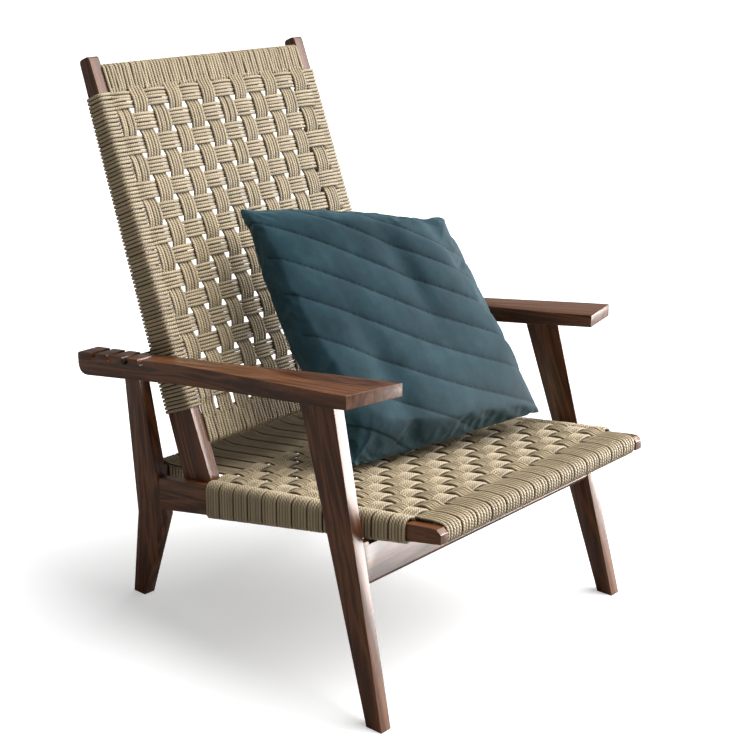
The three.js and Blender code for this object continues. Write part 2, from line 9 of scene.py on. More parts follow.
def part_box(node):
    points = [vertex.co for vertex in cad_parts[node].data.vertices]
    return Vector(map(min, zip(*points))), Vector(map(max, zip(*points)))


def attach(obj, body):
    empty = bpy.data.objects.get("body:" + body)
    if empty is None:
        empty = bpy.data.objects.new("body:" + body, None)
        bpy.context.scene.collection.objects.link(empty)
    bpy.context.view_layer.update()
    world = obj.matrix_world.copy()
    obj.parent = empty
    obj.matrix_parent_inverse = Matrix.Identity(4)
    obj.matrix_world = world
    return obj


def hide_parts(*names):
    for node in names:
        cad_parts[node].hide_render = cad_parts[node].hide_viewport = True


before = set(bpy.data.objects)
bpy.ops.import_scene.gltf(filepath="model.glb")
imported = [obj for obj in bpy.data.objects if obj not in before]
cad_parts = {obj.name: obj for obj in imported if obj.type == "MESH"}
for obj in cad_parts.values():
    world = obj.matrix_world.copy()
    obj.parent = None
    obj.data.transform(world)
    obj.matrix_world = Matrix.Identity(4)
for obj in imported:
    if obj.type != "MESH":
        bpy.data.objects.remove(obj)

scene = bpy.context.scene
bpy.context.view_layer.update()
rng = np.random.default_rng(7)

# ---------------------------------------------------------------- camera
camera_data = bpy.data.cameras.new("camera")
camera = bpy.data.objects.new("camera", camera_data)
scene.collection.objects.link(camera)
camera_data.sensor_width = 36
camera_data.lens = 73.29
camera_data.clip_start = 0.05
camera_data.clip_end = 60
camera.location = (-1.94085, -1.74544, 1.26911)
AZIMUTH = math.radians(48.532)
ELEVATION = math.radians(17.52)
looking = Vector((
    math.sin(AZIMUTH) * math.cos(ELEVATION),
    math.cos(AZIMUTH) * math.cos(ELEVATION),
    -math.sin(ELEVATION),
))
camera.rotation_euler = looking.to_track_quat("-Z", "Y").to_euler()
scene.camera = camera

# ---------------------------------------------------------------- places, some from the CAD boxes and some given
MM = 0.001
pin_low, pin_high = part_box("pivot_pin_left")
PIVOT = (pin_low + pin_high) / 2
LEAN = math.radians(21.2)  # of the back, from upright
LEAN_COS = math.cos(LEAN)
LEAN_SIN = math.sin(LEAN)
STILE_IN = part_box("back_stile_left")[0].x
STILE_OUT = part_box("back_stile_left")[1].x
RAIL_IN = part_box("side_rail_left")[0].x
RAIL_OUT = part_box("side_rail_left")[1].x
RAIL_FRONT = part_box("side_rail_left")[0].y
RAIL_TOP = 350 * MM  # heights of a side rail's edges at its front end, and their slopes to the rear
RAIL_TOP_SLOPE = -0.13
RAIL_BOTTOM = 325 * MM
RAIL_BOTTOM_SLOPE = -0.185


def rail_top(y):
    return RAIL_TOP + RAIL_TOP_SLOPE * (y - RAIL_FRONT)


def rail_bottom(y):
    return RAIL_BOTTOM + RAIL_BOTTOM_SLOPE * (y - RAIL_FRONT)


def on_back(points):
    """Points (x, behind the pivot, up along the stiles) to the row frame."""
    p = np.asarray(points, float)
    y = PIVOT.y + p[..., 1] * LEAN_COS + p[..., 2] * LEAN_SIN
    z = PIVOT.z - p[..., 1] * LEAN_SIN + p[..., 2] * LEAN_COS
    return np.stack([p[..., 0], y, z], axis=-1)


# ---------------------------------------------------------------- material helpers
class Nodes:
    """A material's node tree, with short calls to add and join nodes."""

    def __init__(self, name):
        self.material = bpy.data.materials.new(name)
        self.material.use_nodes = True
        self.tree = self.material.node_tree
        self.shader = self.tree.nodes["Principled BSDF"]

    def add(self, kind, **settings):
        node = self.tree.nodes.new(kind)
        for key, value in settings.items():
            setattr(node, key, value)
        return node

    def join(self, source, target):
        self.tree.links.new(source, target)

    def math(self, operation, a, b=None, c=None, clamp=False):
        node = self.tree.nodes.new("ShaderNodeMath")
        node.operation = operation
        node.use_clamp = clamp
        for slot, value in enumerate((a, b, c)):
            if value is None:
                continue
            if isinstance(value, (int, float)):
                node.inputs[slot].default_value = value
            else:
                self.join(value, node.inputs[slot])
        return node.outputs[0]

    def mix(self, factor, a, b):
        node = self.tree.nodes.new("ShaderNodeMix")
        node.data_type = "RGBA"
        for slot, value in ((0, factor), (6, a), (7, b)):
            if isinstance(value, tuple):
                node.inputs[slot].default_value = (*value, 1)
            else:
                self.join(value, node.inputs[slot])
        return node.outputs[2]

    def ramp(self, source, stops):
        node = self.tree.nodes.new("ShaderNodeValToRGB")
        ramp = node.color_ramp
        while len(ramp.elements) < len(stops):
            ramp.elements.new(0.5)
        for element, (place, color) in zip(ramp.elements, stops):
            element.position = place
            element.color = (*color, 1)
        self.join(source, node.inputs[0])
        return node.outputs[0]

    def scaled(self, coordinates, scale):
        node = self.tree.nodes.new("ShaderNodeMapping")
        node.inputs["Scale"].default_value = scale
        self.join(coordinates, node.inputs["Vector"])
        return node.outputs[0]

    def noise(self, coordinates, scale, detail=3.0, roughness=0.5, distortion=0.0):
        node = self.tree.nodes.new("ShaderNodeTexNoise")
        node.inputs["Scale"].default_value = scale
        node.inputs["Detail"].default_value = detail
        node.inputs["Roughness"].default_value = roughness
        node.inputs["Distortion"].default_value = distortion
        self.join(coordinates, node.inputs["Vector"])
        return node.outputs["Fac"]

    def bump(self, height, strength, distance):
        node = self.tree.nodes.new("ShaderNodeBump")
        node.inputs["Strength"].default_value = strength
        node.inputs["Distance"].default_value = distance
        self.join(height, node.inputs["Height"])
        return node.outputs[0]


def walnut_material():
    """Dark reddish walnut; each board's grain attribute runs along its own fibres."""
    n = Nodes("walnut")
    place = n.add("ShaderNodeAttribute", attribute_name="grain").outputs["Vector"]
    fibre = n.noise(n.scaled(place, (3.0, 90.0, 90.0)), 1.0, 5.0, 0.6)
    rings = n.noise(n.scaled(place, (1.2, 16.0, 16.0)), 1.0, 3.0, 0.55, 0.8)
    bands = n.math("SINE", n.math("MULTIPLY", rings, 46.0))
    bands = n.math("MULTIPLY_ADD", bands, 0.5, 0.5)
    pores = n.noise(n.scaled(place, (28.0, 620.0, 620.0)), 1.0, 2.0, 0.5)
    pores = n.ramp(pores, [(0.30, (0, 0, 0)), (0.46, (1, 1, 1))])
    figure = n.math("MULTIPLY_ADD", bands, 0.45, n.math("MULTIPLY", fibre, 0.6))
    color = n.ramp(figure, [
        (0.18, (0.052, 0.0160, 0.0058)),
        (0.48, (0.124, 0.0430, 0.0150)),
        (0.80, (0.215, 0.0820, 0.0300)),
    ])
    pitted = n.math("MULTIPLY", n.math("SUBTRACT", 1.0, pores), 0.55)
    color = n.mix(pitted, color, (0.016, 0.006, 0.004))
    n.join(color, n.shader.inputs["Base Color"])
    rough = n.math("MULTIPLY_ADD", fibre, 0.18, 0.26)
    n.join(rough, n.shader.inputs["Roughness"])
    height = n.math("MULTIPLY_ADD", pores, 0.6, n.math("MULTIPLY", fibre, 0.4))
    n.join(n.bump(height, 0.10, 0.0006), n.shader.inputs["Normal"])
    n.shader.inputs["Specular IOR Level"].default_value = 0.38
    n.shader.inputs["Coat Weight"].default_value = 0.14
    n.shader.inputs["Coat Roughness"].default_value = 0.14
    return n.material


def cord_material():
    """Three-ply twisted paper cord, with painted shade down its sides and between its plies and painted
    highlights on the ply crowns. UV: around the cord from its outermost line, and metres along it.
    """
    n = Nodes("paper_cord")
    uv = n.tree.nodes.new("ShaderNodeSeparateXYZ")
    n.join(n.add("ShaderNodeUVMap").outputs[0], uv.inputs[0])
    # painted shade: the colour darkens from the cord's outermost line round to its sides and rear, where
    # neighbouring cords shade it
    outer = n.math("COSINE", n.math("MULTIPLY", uv.outputs[0], 2 * math.pi))
    painted_side_shade = n.math("MULTIPLY_ADD", outer, 1.1, 0.12, clamp=True)
    along = n.math("MULTIPLY", uv.outputs[1], 215.0)
    turn = n.math("ADD", n.math("MULTIPLY", uv.outputs[0], 3.0), along)
    ridge = n.math("ABSOLUTE", n.math("SINE", n.math("MULTIPLY", turn, math.pi)))
    tone = n.add("ShaderNodeAttribute", attribute_name="tone").outputs["Fac"]
    place = n.add("ShaderNodeTexCoord").outputs["Object"]
    fuzz = n.noise(place, 900.0, 2.0, 0.6)
    patch = n.noise(place, 14.0, 3.0, 0.6)
    # painted highlight on the ply crowns and painted shade in the crevices between plies; the fuzz noise
    # is the fibres' own tone
    ply_shade_and_fuzz = n.math("MULTIPLY_ADD", ridge, 0.42, n.math("MULTIPLY", fuzz, 0.58))
    color = n.ramp(ply_shade_and_fuzz, [
        (0.12, (0.150, 0.112, 0.066)),
        (0.50, (0.420, 0.330, 0.205)),
        (0.90, (0.680, 0.570, 0.385)),
    ])
    shade = n.math("ADD", n.math("MULTIPLY", tone, 0.55), n.math("MULTIPLY", patch, 0.45))
    shade = n.math("MULTIPLY_ADD", shade, 0.58, 0.80)
    # painted shade down the cord's sides, multiplied into its colour
    shade = n.math("MULTIPLY", shade, n.math("MULTIPLY_ADD", painted_side_shade, 0.76, 0.24))
    vector = n.tree.nodes.new("ShaderNodeVectorMath")
    vector.operation = "SCALE"
    n.join(color, vector.inputs[0])
    n.join(shade, vector.inputs["Scale"])
    n.join(vector.outputs[0], n.shader.inputs["Base Color"])
    n.shader.inputs["Roughness"].default_value = 0.62
    n.shader.inputs["Specular IOR Level"].default_value = 0.35
    height = n.math("MULTIPLY_ADD", fuzz, 0.25, ridge)
    n.join(n.bump(height, 0.55, 0.0009), n.shader.inputs["Normal"])
    return n.material


def velvet_material():
    """Petrol blue velvet, cloudy where the nap lies over, with a painted shade line along each seam
    crease.
    """
    n = Nodes("velvet")
    place = n.add("ShaderNodeTexCoord").outputs["Object"]
    nap = n.noise(place, 7.0, 4.0, 0.6, 0.6)
    pile = n.noise(place, 1500.0, 2.0, 0.7)
    streak = n.noise(n.scaled(place, (55.0, 12.0, 30.0)), 1.0, 3.0, 0.6)
    blend = n.math("MULTIPLY_ADD", nap, 0.6, n.math("MULTIPLY", streak, 0.4))
    color = n.ramp(blend, [
        (0.30, (0.0130, 0.0370, 0.0500)),
        (0.52, (0.0240, 0.0660, 0.0860)),
        (0.72, (0.0440, 0.1050, 0.1300)),
    ])
    painted_seam_shade = n.add("ShaderNodeAttribute", attribute_name="painted_seam_shade").outputs["Fac"]
    # painted shade: the velvet darkens in a thin line along each seam crease
    color = n.mix(n.math("MULTIPLY", painted_seam_shade, 0.8), color, (0.004, 0.010, 0.014))
    n.join(color, n.shader.inputs["Base Color"])
    n.join(n.math("MULTIPLY_ADD", pile, 0.2, 0.72), n.shader.inputs["Roughness"])
    n.shader.inputs["Sheen Weight"].default_value = 0.34
    n.shader.inputs["Sheen Roughness"].default_value = 0.38
    n.shader.inputs["Sheen Tint"].default_value = (0.36, 0.58, 0.66, 1)
    n.shader.inputs["Specular IOR Level"].default_value = 0.18
    n.join(n.bump(pile, 0.25, 0.0004), n.shader.inputs["Normal"])
    return n.material


def steel_material():
    """Blackened steel with fine scratches around it."""
    n = Nodes("blackened_steel")
    place = n.add("ShaderNodeTexCoord").outputs["Object"]
    brushed = n.noise(n.scaled(place, (900.0, 30.0, 30.0)), 1.0, 3.0, 0.6)
    worn = n.noise(place, 22.0, 4.0, 0.65)
    color = n.ramp(worn, [(0.35, (0.020, 0.019, 0.019)), (0.75, (0.075, 0.070, 0.066))])
    n.join(color, n.shader.inputs["Base Color"])
    n.shader.inputs["Metallic"].default_value = 0.9
    n.join(n.math("MULTIPLY_ADD", brushed, 0.25, 0.2), n.shader.inputs["Roughness"])
    n.join(n.bump(brushed, 0.15, 0.0002), n.shader.inputs["Normal"])
    return n.material


def beech_material():
    """Pale beech for the dowels, inside the joints."""
    n = Nodes("beech")
    place = n.add("ShaderNodeTexCoord").outputs["Object"]
    fibre = n.noise(n.scaled(place, (60.0, 400.0, 400.0)), 1.0, 4.0, 0.6)
    color = n.ramp(fibre, [(0.3, (0.36, 0.22, 0.11)), (0.7, (0.56, 0.38, 0.21))])
    n.join(color, n.shader.inputs["Base Color"])
    n.join(n.math("MULTIPLY_ADD", fibre, 0.2, 0.5), n.shader.inputs["Roughness"])
    n.join(n.bump(fibre, 0.2, 0.0003), n.shader.inputs["Normal"])
    return n.material


walnut = walnut_material()
cordage = cord_material()
velvet = velvet_material()
steel = steel_material()
beech = beech_material()


# ---------------------------------------------------------------- wood
def applied(piece):
    """The piece's mesh with its modifiers applied."""
    graph = bpy.context.evaluated_depsgraph_get()
    mesh = bpy.data.meshes.new_from_object(piece.evaluated_get(graph))
    piece.modifiers.clear()
    piece.data = mesh
    return mesh


def places(mesh):
    points = np.empty(len(mesh.vertices) * 3)
    mesh.vertices.foreach_get("co", points)
    return points.reshape(-1, 3)


SAME_PLACE = 0.02 * MM
FLAT_ANGLE = math.radians(1.5)
EDGE_ANGLE = math.radians(32)


def board(node, body, along, bevel, segments=3):
    """A copy of a CAD board with rounded edges, which knows each point's place along its grain."""
    grain = Vector(along).normalized()
    side = Vector((1, 0, 0)) if abs(grain.x) < 0.7 else Vector((0, 0, 1))
    third = grain.cross(side).normalized()
    side = third.cross(grain)
    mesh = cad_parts[node].data.copy()
    shape = bmesh.new()
    shape.from_mesh(mesh)
    bmesh.ops.remove_doubles(shape, verts=shape.verts, dist=SAME_PLACE)
    bmesh.ops.dissolve_limit(
        shape,
        angle_limit=FLAT_ANGLE,
        verts=shape.verts,
        edges=shape.edges,
        use_dissolve_boundaries=False,
    )
    shape.to_mesh(mesh)
    shape.free()
    mesh.materials.clear()
    mesh.materials.append(walnut)
    mesh.shade_smooth()
    made = bpy.data.objects.new(node + "_wood", mesh)
    scene.collection.objects.link(made)
    rounding = made.modifiers.new("rounded_edges", "BEVEL")
    rounding.width = bevel
    rounding.segments = segments
    rounding.limit_method = "ANGLE"
    rounding.angle_limit = EDGE_ANGLE
    rounding.harden_normals = True
    mesh = applied(made)
    low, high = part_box(node)
    offsets = places(mesh) - np.array((low + high) / 2)
    along_grain = offsets @ np.array((grain, side, third)).T
    kept = mesh.attributes.new("grain", "FLOAT_VECTOR", "POINT")
    kept.data.foreach_set("vector", along_grain.astype(np.float32).ravel())
    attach(made, body)
    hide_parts(node)


FRONT_LEG_LEAN = 0.286  # rearward for each unit up
ARM_SLOPE = -0.109
for side, sign in (("left", 1), ("right", -1)):
    board(f"front_leg_{side}", "frame", (-0.056 * sign, FRONT_LEG_LEAN, 1), 2.4 * MM)
    board(f"rear_leg_{side}", "frame", (0.092 * sign, -0.1, 1), 2.4 * MM)
    board(f"side_rail_{side}", "frame", (0, 1, RAIL_TOP_SLOPE), 3.0 * MM)
    board(f"arm_{side}", "frame", (-0.06 * sign, 1, ARM_SLOPE), 2.4 * MM)
    board(f"back_stile_{side}", "back", (0, LEAN_SIN, LEAN_COS), 3.4 * MM, 4)
board("front_stretcher", "frame", (1, 0, 0), 2.4 * MM)
board("seat_front_rail", "frame", (1, 0, 0), 2.0 * MM)
board("seat_rear_rail", "frame", (1, 0, 0), 2.0 * MM)
board("back_bottom_rail", "back", (1, 0, 0), 2.0 * MM)
board("back_top_rail", "back", (1, 0, 0), 2.0 * MM)


# ---------------------------------------------------------------- cords
CORD_RADIUS = 3.05 * MM
CORD_SIDES = 8


class Strands:
    """Gathers cords, open or closed, and makes one mesh of them."""

    def __init__(self):
        self.vertices = []
        self.faces = []
        self.uvs = []
        self.tones = []
        self.count = 0

    def add(self, path, facing=None, radius=CORD_RADIUS):
        """One cord along path. facing points out of the weave; without it the cord is a closed loop."""
        path = np.asarray(path, float)
        closed = facing is None
        outward = path - path.mean(axis=0) if closed else np.broadcast_to(facing, path.shape)
        rows = len(path)
        if closed:
            ahead = np.roll(path, -1, axis=0) - path
            tangent = ahead + np.roll(ahead, 1, axis=0)
        else:
            tangent = np.gradient(path, axis=0)
        tangent /= np.linalg.norm(tangent, axis=1)[:, None]
        normal = outward - tangent * np.sum(outward * tangent, axis=1)[:, None]
        normal /= np.linalg.norm(normal, axis=1)[:, None]
        across = np.cross(tangent, normal)
        angle = np.arange(CORD_SIDES) * 2 * math.pi / CORD_SIDES
        cosine = np.cos(angle)[None, :, None]
        sine = np.sin(angle)[None, :, None]
        ring = normal[:, None, :] * cosine + across[:, None, :] * sine
        points = path[:, None, :] + ring * radius
        steps = np.linalg.norm(np.diff(path, axis=0), axis=1)
        if closed:
            steps = np.append(steps, np.linalg.norm(path[0] - path[-1]))
        length = np.concatenate([[0], np.cumsum(steps)]) + rng.uniform(0, 0.01)
        self.vertices.append(points.reshape(-1, 3))
        start = self.count
        bands = rows if closed else rows - 1
        for k in range(bands):
            here = start + k * CORD_SIDES
            there = start + ((k + 1) % rows) * CORD_SIDES
            for s in range(CORD_SIDES):
                t = (s + 1) % CORD_SIDES
                self.faces.append((here + s, here + t, there + t, there + s))
                low, high = s / CORD_SIDES, (s + 1) / CORD_SIDES
                near, far = length[k], length[k + 1]
                self.uvs.extend((low, near, high, near, high, far, low, far))
        if not closed:
            last = start + (rows - 1) * CORD_SIDES
            self.faces.append(tuple(start + s for s in reversed(range(CORD_SIDES))))
            self.faces.append(tuple(last + s for s in range(CORD_SIDES)))
            self.uvs.extend((0.5, length[0]) * CORD_SIDES)
            self.uvs.extend((0.5, length[rows - 1]) * CORD_SIDES)
        self.tones.append(np.full(rows * CORD_SIDES, rng.uniform(0, 1)))
        self.count += rows * CORD_SIDES

    def build(self, name, body, *nodes):
        mesh = bpy.data.meshes.new(name)
        mesh.from_pydata(np.concatenate(self.vertices).tolist(), [], self.faces)
        layer = mesh.uv_layers.new(name="cord")
        layer.data.foreach_set("uv", np.array(self.uvs, np.float32))
        tone = mesh.attributes.new("tone", "FLOAT", "POINT")
        tone.data.foreach_set("value", np.concatenate(self.tones).astype(np.float32))
        mesh.shade_smooth()
        mesh.materials.append(cordage)
        made = bpy.data.objects.new(name, mesh)
        scene.collection.objects.link(made)
        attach(made, body)
        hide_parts(*nodes)


def rounded_loop(a_low, a_high, b_low, b_high, radii, per_corner=4):
    """A rounded rectangle as (a, b) points; radii at (high a, high b), then on round to each corner."""
    corners = (
        (a_high, b_high, -1, -1, 0.0),
        (a_low, b_high, 1, -1, 0.5 * math.pi),
        (a_low, b_low, 1, 1, math.pi),
        (a_high, b_low, -1, 1, 1.5 * math.pi),
    )
    points = []
    for (a, b, da, db, start), radius in zip(corners, radii):
        middle_a = a + da * radius
        middle_b = b + db * radius
        for k in range(per_corner + 1):
            angle = start + 0.5 * math.pi * k / per_corner
            points.append((middle_a + radius * math.cos(angle), middle_b + radius * math.sin(angle)))
    return np.array(points)


def crossing(t, power=1.0):
    """+1 over the middle of one band, -1 over the next, with a soft plateau for a larger power."""
    wave = np.cos(math.pi * t)
    return np.tanh(power * wave) / math.tanh(power)


# The back: rows across the stiles, columns over the two rails
BACK_ROWS = 14
BACK_COLUMNS = 12
TURNS_PER_BAND = 6
WOVEN = range(5)  # the turns of each band whose cord crosses the weave; the sixth only goes round
BAND_MIDDLE = 2.5 / TURNS_PER_BAND
BACK_CORD_FROM = 150 * MM
BACK_CORD_TO = 719 * MM
STILE_FRONT = -36 * MM
STILE_TAPER = 0.055
BACK_PLANE = -38.8 * MM
BACK_WAVE = 3.5 * MM
BACK_PINCH = 0.08  # how far a band draws together where it crosses another
ROW_PITCH = (BACK_CORD_TO - BACK_CORD_FROM) / BACK_ROWS
ROW_TURN = ROW_PITCH / TURNS_PER_BAND
COLUMN_PITCH = 2 * STILE_IN / BACK_COLUMNS
COLUMN_TURN = COLUMN_PITCH / TURNS_PER_BAND
RAIL_FACE = -34 * MM
RAIL_REAR = -12 * MM
BOTTOM_RAIL = (86 * MM, 130 * MM)
TOP_RAIL = (721 * MM, 765 * MM)
BACK_OUT = (0, -LEAN_COS, LEAN_SIN)

for side, sign in (("left", 1), ("right", -1)):
    wrap = Strands()
    for turn in range(BACK_ROWS * TURNS_PER_BAND):
        up = BACK_CORD_TO - (turn + 0.5) * ROW_TURN
        rear = -STILE_FRONT - STILE_TAPER * up
        r = CORD_RADIUS
        loop = rounded_loop(STILE_IN - r, STILE_OUT + r, STILE_FRONT - r, rear + r, (7 * MM,) * 4)
        rise = np.cumsum(rng.normal(0, 0.10 * MM, len(loop)))
        rise -= np.linspace(rise[0], rise[-1], len(loop))
        rise += rng.normal(0, 0.25 * MM)
        points = np.column_stack([loop[:, 0] * sign, loop[:, 1], up + rise])
        wrap.add(on_back(points))
    wrap.build(f"back_stile_wrap_{side}", "back", f"back_cord_stile_{side}")

for name, node, (low, high) in (
    ("back_bottom_wrap", "back_cord_bottom", BOTTOM_RAIL),
    ("back_top_wrap", "back_cord_top", TOP_RAIL),
):
    wrap = Strands()
    for turn in range(BACK_COLUMNS * TURNS_PER_BAND):
        x = -STILE_IN + (turn + 0.5) * COLUMN_TURN
        r = CORD_RADIUS
        loop = rounded_loop(RAIL_FACE - r, RAIL_REAR + r, low - r, high + r, (7 * MM,) * 4)
        drift = x + rng.normal(0, 0.5 * MM) + rng.normal(0, 0.03) * (loop[:, 1] - (low + high) / 2)
        wander = rng.normal(0, 0.12 * MM, len(loop))
        points = np.column_stack([drift + wander, loop[:, 0], loop[:, 1]])
        wrap.add(on_back(points))
    wrap.build(name, "back", node)

weave = Strands()
for row in range(BACK_ROWS):
    for index in WOVEN:
        up = BACK_CORD_TO - (row * TURNS_PER_BAND + index + 0.5) * ROW_TURN
        middle = BACK_CORD_TO - (row + BAND_MIDDLE) * ROW_PITCH
        x = np.linspace(-STILE_IN - 3 * MM, STILE_IN + 3 * MM, 12 * BACK_COLUMNS + 1)
        t = (x + STILE_IN) / COLUMN_PITCH - BAND_MIDDLE
        over = crossing(t, 1.6) * (1 if row % 2 == 0 else -1)
        edge = np.clip((STILE_IN - np.abs(x)) / (12 * MM), 0, 1)
        pinch = 1 - (BACK_PINCH - 0.02 * over) * edge
        drift = rng.normal(0, 0.3 * MM) + 0.35 * MM * np.sin(x * rng.uniform(15, 30) + rng.uniform(0, 6))
        level = middle + (up - middle) * pinch + drift * edge
        depth = BACK_PLANE - BACK_WAVE * over * edge
        weave.add(on_back(np.column_stack([x, depth, level])), BACK_OUT, CORD_RADIUS * 0.99)
for column in range(BACK_COLUMNS):
    for index in WOVEN:
        start = -STILE_IN + (column * TURNS_PER_BAND + index + 0.5) * COLUMN_TURN
        middle = -STILE_IN + (column + BAND_MIDDLE) * COLUMN_PITCH
        up = np.linspace(BOTTOM_RAIL[1] - 4 * MM, TOP_RAIL[0] + 4 * MM, 12 * 16 + 1)
        t = (BACK_CORD_TO - up) / ROW_PITCH - BAND_MIDDLE
        inside = np.clip((BACK_CORD_TO + 4 * MM - up) / (18 * MM), 0, 1)
        inside *= np.clip((up - BACK_CORD_FROM + 4 * MM) / (18 * MM), 0, 1)
        over = crossing(t, 1.6) * (-1 if column % 2 == 0 else 1)
        pinch = 1 - (BACK_PINCH - 0.02 * over) * inside
        drift = rng.normal(0, 0.3 * MM) + 0.4 * MM * np.sin(up * rng.uniform(12, 25) + rng.uniform(0, 6))
        x = middle + (start - middle) * pinch + drift * inside
        face = RAIL_FACE - CORD_RADIUS
        depth = face + (BACK_PLANE - face - BACK_WAVE * over) * inside
        weave.add(on_back(np.column_stack([x, depth, up])), BACK_OUT, CORD_RADIUS * 0.99)
weave.build("back_weave", "back", "back_cord_field")

# The seat: rows across the side rails, columns from the front rail to the rear rail
SEAT_ROWS = 13
SEAT_COLUMNS = 14
SEAT_TURNS = 5
SEAT_FROM = RAIL_FRONT + 67 * MM
SEAT_TO = SEAT_FROM + 457 * MM
SEAT_PITCH = (SEAT_TO - SEAT_FROM) / SEAT_ROWS
SEAT_TURN = 6.5 * MM
SEAT_COLUMN_PITCH = 2 * RAIL_IN / SEAT_COLUMNS
SEAT_COLUMN_TURN = 7.1 * MM
SEAT_WAVE = 5.6 * MM
SEAT_SAG = 5 * MM
SIDE_CROWN = 4 * MM  # how far the turns stand up over a side rail
front_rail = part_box("seat_front_rail")
rear_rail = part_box("seat_rear_rail")
SEAT_MIDDLE = (SEAT_FROM + SEAT_TO) / 2


def seat_level(x, y):
    """Height of the middle of the woven layer."""
    across = 1 - np.clip(np.abs(x) / RAIL_IN, 0, 1) ** 2
    length = 1 - np.clip(np.abs(y - SEAT_MIDDLE) / (0.55 * (SEAT_TO - SEAT_FROM)), 0, 1) ** 2
    return rail_top(y) + CORD_RADIUS + 0.6 * MM - SEAT_SAG * across * length


def turn_y(row, index):
    return SEAT_FROM + (row + 0.5) * SEAT_PITCH + (index - (SEAT_TURNS - 1) / 2) * SEAT_TURN


def turn_x(column, index):
    middle = -RAIL_IN + (column + 0.5) * SEAT_COLUMN_PITCH
    return middle + (index - (SEAT_TURNS - 1) / 2) * SEAT_COLUMN_TURN


for side, sign in (("left", 1), ("right", -1)):
    wrap = Strands()
    for row in range(SEAT_ROWS):
        for index in range(SEAT_TURNS):
            y = turn_y(row, index) + rng.normal(0, 0.2 * MM)
            r = CORD_RADIUS
            radii = (12 * MM, 10 * MM, 7 * MM, 7 * MM)
            crown = rail_top(y) + r + SIDE_CROWN
            loop = rounded_loop(RAIL_IN - r, RAIL_OUT + r, rail_bottom(y) - r, crown, radii)
            wander = rng.normal(0, 0.12 * MM, len(loop))
            points = np.column_stack([loop[:, 0] * sign, y + wander, loop[:, 1]])
            wrap.add(points)
    wrap.build(f"seat_side_wrap_{side}", "frame", f"seat_cord_side_{side}")

for name, node, box, columns, corner in (
    ("seat_front_wrap", "seat_cord_front", front_rail, range(SEAT_COLUMNS), 12 * MM),
    ("seat_rear_wrap", "seat_cord_rear", rear_rail, range(1, SEAT_COLUMNS - 1), 9 * MM),
):
    wrap = Strands()
    for column in columns:
        for index in range(SEAT_TURNS):
            x = turn_x(column, index) + rng.normal(0, 0.25 * MM)
            r = CORD_RADIUS
            low, high = box
            loop = rounded_loop(low.y - r, high.y + r, low.z - r, high.z + r, (corner,) * 4, 5)
            wander = rng.normal(0, 0.12 * MM, len(loop))
            wrap.add(np.column_stack([x + wander, loop[:, 0], loop[:, 1]]))
    wrap.build(name, "frame", node)

weave = Strands()
for row in range(SEAT_ROWS):
    for index in range(SEAT_TURNS):
        middle = SEAT_FROM + (row + 0.5) * SEAT_PITCH
        x = np.linspace(-RAIL_IN - 5 * MM, RAIL_IN + 5 * MM, 12 * SEAT_COLUMNS + 1)
        t = (x + RAIL_IN) / SEAT_COLUMN_PITCH - 0.5
        edge = np.clip((RAIL_IN + 2 * MM - np.abs(x)) / (16 * MM), 0, 1)
        over = crossing(t, 0.8) * (1 if row % 2 == 0 else -1)
        pinch = 1 - (0.16 - 0.16 * np.maximum(over, 0)) * edge
        drift = rng.normal(0, 0.3 * MM) + 0.4 * MM * np.sin(x * rng.uniform(12, 25) + rng.uniform(0, 6))
        y = middle + (turn_y(row, index) - middle) * pinch + drift * edge
        z = seat_level(x, y) + SEAT_WAVE * over * edge
        weave.add(np.column_stack([x, y, z]), (0, 0, 1), CORD_RADIUS * 0.99)
        y = np.full(9, turn_y(row, index))
        x = np.linspace(-RAIL_IN, RAIL_IN, 9)
        z = rail_bottom(y) - CORD_RADIUS - 4 * MM * (1 - (x / RAIL_IN) ** 2)
        weave.add(np.column_stack([x, y, z]), (0, 0, -1), CORD_RADIUS * 0.99)
for column in range(SEAT_COLUMNS):
    outermost = column in (0, SEAT_COLUMNS - 1)
    for index in range(SEAT_TURNS):
        middle = -RAIL_IN + (column + 0.5) * SEAT_COLUMN_PITCH
        rear = SEAT_TO - 6 * MM if outermost else rear_rail[1].y - 8 * MM
        y = np.linspace(front_rail[0].y + 8 * MM, rear, 12 * 18 + 1)
        t = (y - SEAT_FROM) / SEAT_PITCH - 0.5
        inside = np.clip((y - SEAT_FROM + 12 * MM) / (24 * MM), 0, 1)
        inside *= np.clip((SEAT_TO + 12 * MM - y) / (24 * MM), 0, 1)
        behind = np.clip((y - SEAT_TO) / (24 * MM), 0, 1)
        behind *= np.clip((rear_rail[0].y - y) / (30 * MM), 0, 1)
        over = crossing(t, 0.8) * (-1 if column % 2 == 0 else 1)
        pinch = 1 - (0.18 - 0.12 * np.maximum(over, 0)) * inside - 0.16 * behind
        drift = rng.normal(0, 0.4 * MM) + 0.5 * MM * np.sin(y * rng.uniform(10, 20) + rng.uniform(0, 6))
        x = middle + (turn_x(column, index) - middle) * pinch + drift * inside
        front_top = front_rail[1].z + CORD_RADIUS
        rear_top = rear_rail[1].z + CORD_RADIUS
        level = seat_level(x, y) + SEAT_WAVE * over * inside
        near = np.clip((y - front_rail[1].y + 6 * MM) / (30 * MM), 0, 1)
        z = front_top + (level - front_top) * near
        if outermost:
            z -= 9 * MM * np.clip((y - rear + 24 * MM) / (24 * MM), 0, 1)
        else:
            far = np.clip((y - rear_rail[0].y + 30 * MM) / (36 * MM), 0, 1)
            z += (rear_top - z) * far
        weave.add(np.column_stack([x, y, z]), (0, 0, 1), CORD_RADIUS * 0.99)
weave.build("seat_weave", "frame", "seat_cord_field")

